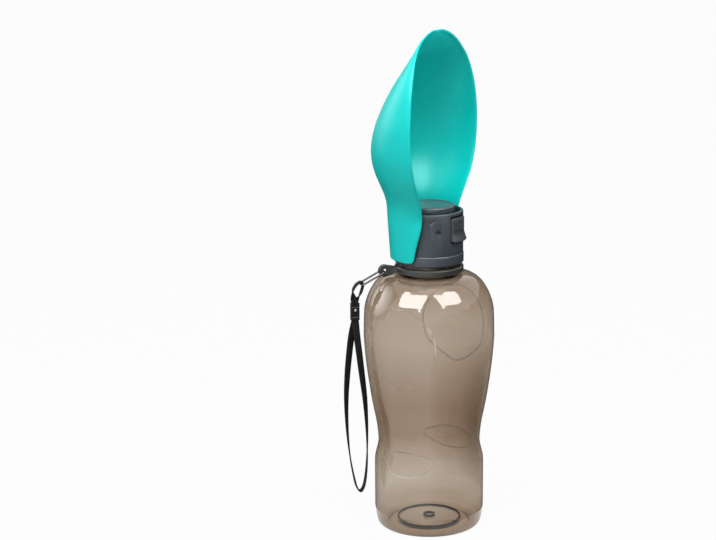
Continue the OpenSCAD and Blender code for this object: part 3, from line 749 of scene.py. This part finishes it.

# %% [markdown]
# The valve's spring gets shorter when the lever is pressed, and a rigid copy
# would cut through the collar. Here the coil is copied, smoothed and given a
# mesh of its own; nothing squashes it.


def shortening_copy(name, node, body, slot):
    piece = copy_of_part(name, node)
    close_seams(piece)
    pick(piece)
    drop_stored_normals(piece)
    bpy.ops.object.shade_smooth_by_angle(angle=math.radians(60))
    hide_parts(node)
    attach(piece, body)
    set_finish(piece, slot)
    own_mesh(piece)
    report(piece)


shortening_copy("spring_coil", "valve_spring", "cap", "steel")

# %% [markdown]
# ## The finishes
#
# Colours are written as the surface should look in plain light. The cap is a
# dark blue-grey, the ring a lighter grey, the trough teal. Webbing is nearly
# black; its weave comes from its own UV map, so it follows the band.

# %% Moulded plastics and metals
SOFT_GLOSS, METAL = {"Specular IOR Level": 0.25}, {"Metallic": 1.0}
cap_finish = moulded("cap_plastic", (0.038, 0.050, 0.062),
                     (0.054, 0.068, 0.083), 0.36)
ring_finish = moulded("ring_plastic", (0.034, 0.034, 0.032),
                      (0.052, 0.052, 0.049), 0.22)
lever_finish = moulded("lever_plastic", (0.036, 0.038, 0.045),
                       (0.056, 0.058, 0.067), 0.40, grain=420.0,
                       depth=0.00016)
disc_finish = moulded("disc_plastic", (0.055, 0.078, 0.088),
                      (0.075, 0.100, 0.112), 0.28)
# The lever's pin is near black: painted shade, so its end looks like the dark
# hole it sits in.
pin_painted_shade_finish = moulded("pin_painted_shade", (0.014, 0.015, 0.017),
                     (0.030, 0.032, 0.035), 0.35)
trough_finish = moulded("trough_plastic", (0.001, 0.600, 0.560),
                        (0.003, 0.720, 0.670), 0.34, grain=600.0,
                        depth=0.00003,
                        constants={"Specular IOR Level": 0.2})
# The wire's metal is far darker than steel: a painted dark reflection of dark
# surroundings.
wire_dark_reflection_finish = moulded("wire_painted_dark_reflection", (0.06, 0.06, 0.06), (0.12, 0.12, 0.12),
                      0.20, constants=METAL)
steel_finish = moulded("steel", (0.50, 0.50, 0.50), (0.62, 0.62, 0.62),
                       0.30, constants=METAL)
rivet_finish = moulded("rivet_metal", (0.66, 0.66, 0.65), (0.80, 0.80, 0.78),
                       0.25, constants=METAL)
crimp_finish = moulded("crimp_paint", (0.006, 0.006, 0.006),
                       (0.014, 0.014, 0.014), 0.26, constants=SOFT_GLOSS)
# The base's rings: near black and opaque.
near_black_finish = moulded("near_black_base_rings", (0.010, 0.008, 0.007),
                       (0.026, 0.021, 0.018), 0.30, constants=SOFT_GLOSS)
silicone_finish = moulded("silicone", (0.30, 0.31, 0.31), (0.38, 0.39, 0.39),
                          0.55)
stem_finish = moulded("white_plastic", (0.60, 0.60, 0.58),
                      (0.70, 0.70, 0.68), 0.40)


# %% [markdown]
# The bottle is blown from smoky clear plastic. One even glass would be the
# simple way, but the tint here follows the height, darker at the base, the waist
# and the neck: partly the thicker wall at the base, partly painted shade.
# Absorption inside the wall deepens the colour where light crosses more of it.

# %% Smoky clear plastic
# Each stop: height in mm, then 0 for darkest (thick wall and painted shade) to 1
# for clear.
CLEAR_AND_SHADE_AT_HEIGHT = [(0, 0.0), (8, 0.3), (20, 1.0), (38, 0.85), (54, 0.38),
                   (68, 0.08), (100, 0.42), (131, 0.80), (160, 0.30),
                   (200, 0.20)]
SCALE_TOP = 200         # mm, the height at the ramp's end
THICK_AND_SHADE_TINT, CLEAR_TINT = (0.62, 0.52, 0.43), (0.97, 0.95, 0.92)
SMOKE, SMOKE_DENSITY = (0.47, 0.37, 0.23, 1.0), 380.0


def greys(stops):
    """A ramp's stops in plain grey, from (place, tone) pairs."""
    return [(place, (tone,) * 3) for place, tone in stops]


def smoky(name, constants):
    material, flow = new_material(name)
    place = object_place(flow)
    clouds = noise(flow, place, 16.0, 2.0)
    ripple = noise(flow, place, 30.0, 1.0)
    height = flow.node("ShaderNodeSeparateXYZ", None,
                       {"Vector": place}).other("Z")
    stops = greys((level / SCALE_TOP, clear)
                  for level, clear in CLEAR_AND_SHADE_AT_HEIGHT)
    # The ramp darkens the tint by height: the thick base, and painted shade at
    # the waist and neck.
    clear = flow.node(
        "ShaderNodeValToRGB", {"stops": stops},
        {"Fac": height * (1 / (SCALE_TOP * MM)) + (clouds - 0.5) * 0.02})
    colour = two_tones(flow, (clear - clouds * 0.06).clamp(),
                       THICK_AND_SHADE_TINT, CLEAR_TINT)
    output = finish_surface(flow, constants, Base_Color=colour,
                            Roughness=0.03 + clouds * 0.03,
                            Normal=raised(flow, ripple, 0.00002))
    depth = flow.node("ShaderNodeVolumeAbsorption", None,
                      {"Color": SMOKE, "Density": SMOKE_DENSITY})
    flow.tree.links.new(depth.socket, output.inputs["Volume"])
    return material


bottle_finish = smoky("smoky_clear", {"Transmission Weight": 1.0, "IOR": 1.57})


# %% [markdown]
# A raised outline looks paler than the wall round it. A clear bead would hardly
# show on a clear bottle, so the beads get a thin pale veil that is mostly
# see-through: a painted highlight, the same all round each bead.

# %% The pale line of a raised outline, a painted highlight
def pale_veil_highlight(name):
    """A thin pale veil, mostly see-through: a painted highlight."""
    material, flow = new_material(name)
    place = object_place(flow)
    clouds = noise(flow, place, 120.0, 2.0)
    colour = two_tones(flow, clouds, (0.74, 0.69, 0.63), (0.88, 0.84, 0.78))
    finish_surface(flow, {"Alpha": 0.32, "Specular IOR Level": 0.3},
                   Base_Color=colour, Roughness=0.35 + clouds * 0.1,
                   Normal=raised(flow, clouds, 0.00002))
    return material


bead_highlight_finish = pale_veil_highlight("bead_painted_highlight")


# %% [markdown]
# Webbing is woven: ribs cross it and yarns run along it. Modelling every yarn
# would need a very dense mesh, so two sine waves on the band's own UV map make
# the pattern, and a bump lifts it.

# %% Black webbing
RIB_PITCH, YARN_PITCH = 0.9, 0.65       # mm


def woven(name):
    material, flow = new_material(name)
    weave = flow.node("ShaderNodeUVMap", {"uv_map": "weave"}, None)
    split = flow.node("ShaderNodeSeparateXYZ", None, {"Vector": weave})
    across = split.other("Y")
    ribs = (split * (2 * math.pi / RIB_PITCH)).sine()
    yarns = (across * (2 * math.pi / YARN_PITCH)).sine()
    pattern = ribs * yarns * 0.5 + 0.5
    fuzz = noise(flow, weave, 9.0, 3.0)
    colour = two_tones(flow, (pattern * 0.6 + fuzz * 0.4).clamp(),
                       (0.0025, 0.0025, 0.0025), (0.010, 0.010, 0.0105))
    finish_surface(flow, {"Sheen Weight": 0.03, "Sheen Roughness": 0.4,
                          "Specular IOR Level": 0.15},
                   Base_Color=colour, Roughness=0.62 + fuzz * 0.2,
                   Normal=raised(flow, pattern + fuzz * 0.3, 0.00012))
    return material


webbing_finish = woven("black_webbing")

# %% [markdown]
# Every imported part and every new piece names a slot. One table turns the slots
# into finishes, so a piece gets the finish of the part that it replaces. The
# lever's pin, the outlines and the base's rings differ, and are set last.

# %% Give every part its finish
finish_of_slot = {
    "bottle": bottle_finish, "ring": ring_finish, "wire": wire_dark_reflection_finish,
    "webbing": webbing_finish, "crimp": crimp_finish, "rivet": rivet_finish,
    "cap": cap_finish, "silicone": silicone_finish, "steel": steel_finish,
    "stem": stem_finish, "seal": silicone_finish, "disc": disc_finish,
    "lever": lever_finish, "trough": trough_finish}


def dress(piece, finish):
    if piece.material_slots:
        for holder in piece.material_slots:
            holder.material = finish
    else:
        piece.data.materials.append(finish)


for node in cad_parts.values():
    dress(node, finish_of_slot[node.material_slots[0].material.name])
dress(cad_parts["lever_pin"], pin_painted_shade_finish)
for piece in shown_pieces():
    if piece.get("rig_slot"):
        dress(piece, finish_of_slot[piece["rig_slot"]])
for bead in beads:
    dress(bead, bead_highlight_finish)
for wall in base_walls:
    dress(wall, near_black_finish)

# %% [markdown]
# ## The studio
#
# The photo has a plain white background. Making the world bright enough to
# look white would wash the object out, so the world and the floor look white
# only to the camera, to reflections and through clear plastic, and light the
# object at a plain level otherwise.

# %% White seen, plain light given
SEEN = ("Is Camera Ray", "Is Glossy Ray", "Is Transmission Ray")
WHITE = (1, 1, 1, 1)


def seen_rays(flow):
    path = flow.node("ShaderNodeLightPath")
    rays = [path.other(name) for name in SEEN]
    return (rays[0] + rays[1] + rays[2]).clamp()


def light_world(ambient):
    world = bpy.data.worlds.new("studio")
    world.use_nodes = True
    world.node_tree.nodes.clear()
    flow = Flow(world.node_tree)
    dim = flow.node("ShaderNodeBackground", None,
                    {"Color": WHITE, "Strength": ambient})
    white = flow.node("ShaderNodeBackground", None,
                      {"Color": WHITE, "Strength": 1.0})
    mix = flow.node("ShaderNodeMixShader", None,
                    {0: seen_rays(flow), 1: dim, 2: white})
    end_in(flow, mix, "ShaderNodeOutputWorld")
    bpy.context.scene.world = world


light_world(0.26)

# %% [markdown]
# The bottle stands on white paper. A shadow catcher would be one way; here the
# paper is a mix of plain glow and grey paper, so most of it looks white and a
# little of it still takes the bottle's soft shadow.

# %% A pale floor that keeps a soft shadow
def add_floor(side, whiteness):
    start_clean()
    bpy.ops.mesh.primitive_plane_add(size=side, location=(0, 0, -0.0002))
    floor = bpy.context.object
    floor.name = "studio_floor"
    place_in_mesh(floor)
    material, flow = new_material("pale_floor")
    paper = flow.node("ShaderNodeBsdfDiffuse", None,
                      {"Color": (0.36, 0.36, 0.36, 1)})
    glow = flow.node("ShaderNodeEmission", None,
                     {"Color": WHITE, "Strength": 1.0})
    mix = flow.node("ShaderNodeMixShader", None,
                    {0: seen_rays(flow) * whiteness, 1: paper, 2: glow})
    end_in(flow, mix)
    floor.data.materials.append(material)


add_floor(40.0, 0.965)


# %% [markdown]
# In an all-white room the bottle's edges would melt into the background. A
# photographer stands dark cards round the set, just out of view, so that the
# edges reflect something dark. Here one round tray and one low round wall do
# this. Their tone changes softly with the direction: bright at the left
# front, dark elsewhere. Only reflections see them, so they draw the edges and
# neither shade nor tint anything.

# %% A tray and a wall that only reflections see
# Stops: direction round the bottle, 0 to 1 from +X towards +Y; brightness.
TRAY_TONES = greys([(0.0, 0.03), (0.25, 0.05), (0.37, 0.90), (0.575, 1.0),
                    (0.615, 0.45), (0.70, 0.10), (1.0, 0.03)])
WALL_TONES = greys([(0.0, 0.05), (0.10, 0.10), (0.22, 0.90), (0.60, 1.0),
                    (0.70, 0.35), (0.78, 0.08), (1.0, 0.05)])


def seen_only_by(piece, kind):
    """Hides the piece from the camera and from all rays but one kind."""
    for ray in ("camera", "diffuse", "glossy", "transmission",
                "volume_scatter", "shadow"):
        setattr(piece, "visible_" + ray, ray == kind)


def reflections_only(piece):
    seen_only_by(piece, "glossy")


def add_round_card(name, first, last, tones):
    """Spins the edge from first to last, (radius, height) in metres."""
    start_clean()
    bpy.ops.mesh.primitive_plane_add(size=1, location=(0, 0, 0))
    card = bpy.context.object
    card.name = name
    for vertex in card.data.vertices:
        radius, height = first if vertex.co.x < 0 else last
        vertex.co = (radius, 0, height)
    bpy.ops.object.mode_set(mode="EDIT")
    bpy.ops.mesh.select_all(action="SELECT")
    bpy.ops.mesh.remove_doubles(threshold=0.0001)
    bpy.ops.mesh.spin(steps=96, angle=2 * math.pi, center=(0, 0, 0),
                      axis=(0, 0, 1))
    bpy.ops.mesh.select_all(action="SELECT")
    bpy.ops.mesh.remove_doubles(threshold=0.0001)
    bpy.ops.object.mode_set(mode="OBJECT")
    material, flow = new_material(name)
    split = flow.node("ShaderNodeSeparateXYZ", None,
                      {"Vector": object_place(flow)})
    y = split.other("Y")
    turn = y.maths("ARCTAN2", y, split) * (1 / (2 * math.pi))
    turn = turn.maths("FRACT", turn + 1.0)
    tone = flow.node("ShaderNodeValToRGB", {"stops": tones}, {"Fac": turn})
    glow = flow.node("ShaderNodeEmission", None, {"Color": tone})
    end_in(flow, glow)
    card.data.materials.append(material)
    reflections_only(card)
    print(name, len(card.data.polygons), "faces")


add_round_card("shade_tray", (0.05, 0.0004), (2.5, 0.0004), TRAY_TONES)
add_round_card("shade_wall", (2.5, 0.0004), (2.5, 0.95), WALL_TONES)


# %% [markdown]
# Clear plastic shows what stands behind it. A sheet of smoked film hangs behind
# the right of the bottle as painted shade, so that side looks deeper. Only light
# that has come through the bottle meets it. Its tone grows slowly from the left
# and from below, so the main view shows no edge there; from other sides an edge
# can show.

# %% A smoked film behind the bottle, for painted shade
# Stops: share of the film's width or height; how strong its tint is.
FILM_ACROSS = greys([(0.0, 0.0), (0.45, 0.30), (0.75, 0.85), (1.0, 1.0)])
FILM_UP = greys([(0.0, 0.0), (0.16, 0.9), (0.30, 1.0), (0.45, 0.75),
                 (0.58, 0.40), (0.70, 0.0), (1.0, 0.0)])
NO_TINT, FILM_SHADE_TINT = (1.0, 1.0, 1.0), (0.34, 0.29, 0.24)


def add_shade_film(name, behind, first, last, height):
    """Stands across the photo's view; first, last: metres to the right."""
    turn = math.radians(VIEW_TURN)
    right = Vector((math.cos(turn), math.sin(turn), 0))
    away = Vector((-right.y, right.x, 0))
    start_clean()
    bpy.ops.mesh.primitive_plane_add(size=1, location=(0, 0, 0))
    film = bpy.context.object
    film.name = name
    for vertex in film.data.vertices:
        across = first if vertex.co.x < 0 else last
        up = 0.001 if vertex.co.y < 0 else height
        vertex.co = right * across + away * behind + Vector((0, 0, up))
    material, flow = new_material(name)
    split = flow.node("ShaderNodeSeparateXYZ", None,
                      {"Vector": object_place(flow)})
    y, z = split.other("Y"), split.other("Z")
    across = (split * right.x + y * right.y - first) * (1 / (last - first))
    amount = flow.node("ShaderNodeValToRGB", {"stops": FILM_ACROSS},
                       {"Fac": across})
    low = flow.node("ShaderNodeValToRGB", {"stops": FILM_UP},
                    {"Fac": z * (1 / height)})
    # The film's tint is painted shade, seen through the bottle's right side.
    tone = two_tones(flow, (amount * low).clamp(), NO_TINT, FILM_SHADE_TINT)
    clear = flow.node("ShaderNodeBsdfTransparent", None, {"Color": tone})
    end_in(flow, clear)
    film.data.materials.append(material)
    seen_only_by(film, "transmission")


add_shade_film("shade_film", behind=0.047, first=0.0, last=0.046, height=0.175)


# %% [markdown]
# Product photos are lit by softboxes. An area light would also show in glossy
# parts as a hard white oblong, so the three lights are hidden there. Glowing
# cards, which only reflections see, stand before two of them and are the two
# bright patches on the bottle's shoulder; a third card glows softly behind.

# %% Softboxes
SHOULDER = Vector((-0.03, -0.017, 0.16))    # where lights and cards are aimed
LIGHT_AWAY, CARD_AWAY = 1.2, 1.1            # metres


def add_softbox(name, direction, distance, size, power):
    """An area light, aimed at the bottle's shoulder."""
    start_clean()
    way = Vector(direction).normalized()
    bpy.ops.object.light_add(type="AREA", location=SHOULDER + way * distance)
    box = bpy.context.object
    box.name = name
    box.data.shape = "RECTANGLE"
    box.data.size, box.data.size_y = size
    box.data.energy = power
    box.rotation_euler = way.to_track_quat("Z", "Y").to_euler()
    box.visible_glossy = False


def add_glowing_card(name, direction, distance, size, strength, fade=False):
    """What the softbox looks like in a reflection; fade softens its edges."""
    start_clean()
    way = Vector(direction).normalized()
    bpy.ops.mesh.primitive_plane_add(
        size=1, location=SHOULDER + way * distance,
        rotation=way.to_track_quat("Z", "Y").to_euler())
    card = bpy.context.object
    card.name = name
    card.scale = (*size, 1)
    place_in_mesh(card)
    material, flow = new_material(name)
    if fade:
        middle = flow.node("ShaderNodeVectorMath", {"operation": "DISTANCE"},
                           {0: flow.node("ShaderNodeUVMap"),
                            1: (0.5, 0.5, 0.0)}, output=1)
        strength = (1.0 - middle * 2.0).clamp() * strength
    glow = flow.node("ShaderNodeEmission", None,
                     {"Color": WHITE, "Strength": strength})
    end_in(flow, glow)
    card.data.materials.append(material)
    reflections_only(card)


KEY_WAY, FRONT_WAY = (-0.692, 0.150, 0.706), (-0.149, -0.658, 0.738)
TOP_WAY, SIDE_WAY = (-0.15, -0.20, 1.0), (-0.10, 0.95, 0.32)
add_softbox("key_light", KEY_WAY, LIGHT_AWAY, (0.95, 0.72), 10.0)
add_softbox("front_light", FRONT_WAY, LIGHT_AWAY, (0.85, 0.66), 5.0)
add_softbox("top_light", TOP_WAY, LIGHT_AWAY, (0.80, 0.80), 9.0)
add_glowing_card("key_glow", KEY_WAY, CARD_AWAY, (0.87, 0.66), 12.0)
add_glowing_card("front_glow", FRONT_WAY, CARD_AWAY, (0.78, 0.60), 12.0)
add_glowing_card("side_glow", SIDE_WAY, CARD_AWAY, (1.3, 1.1), 6.0,
                 fade=True)
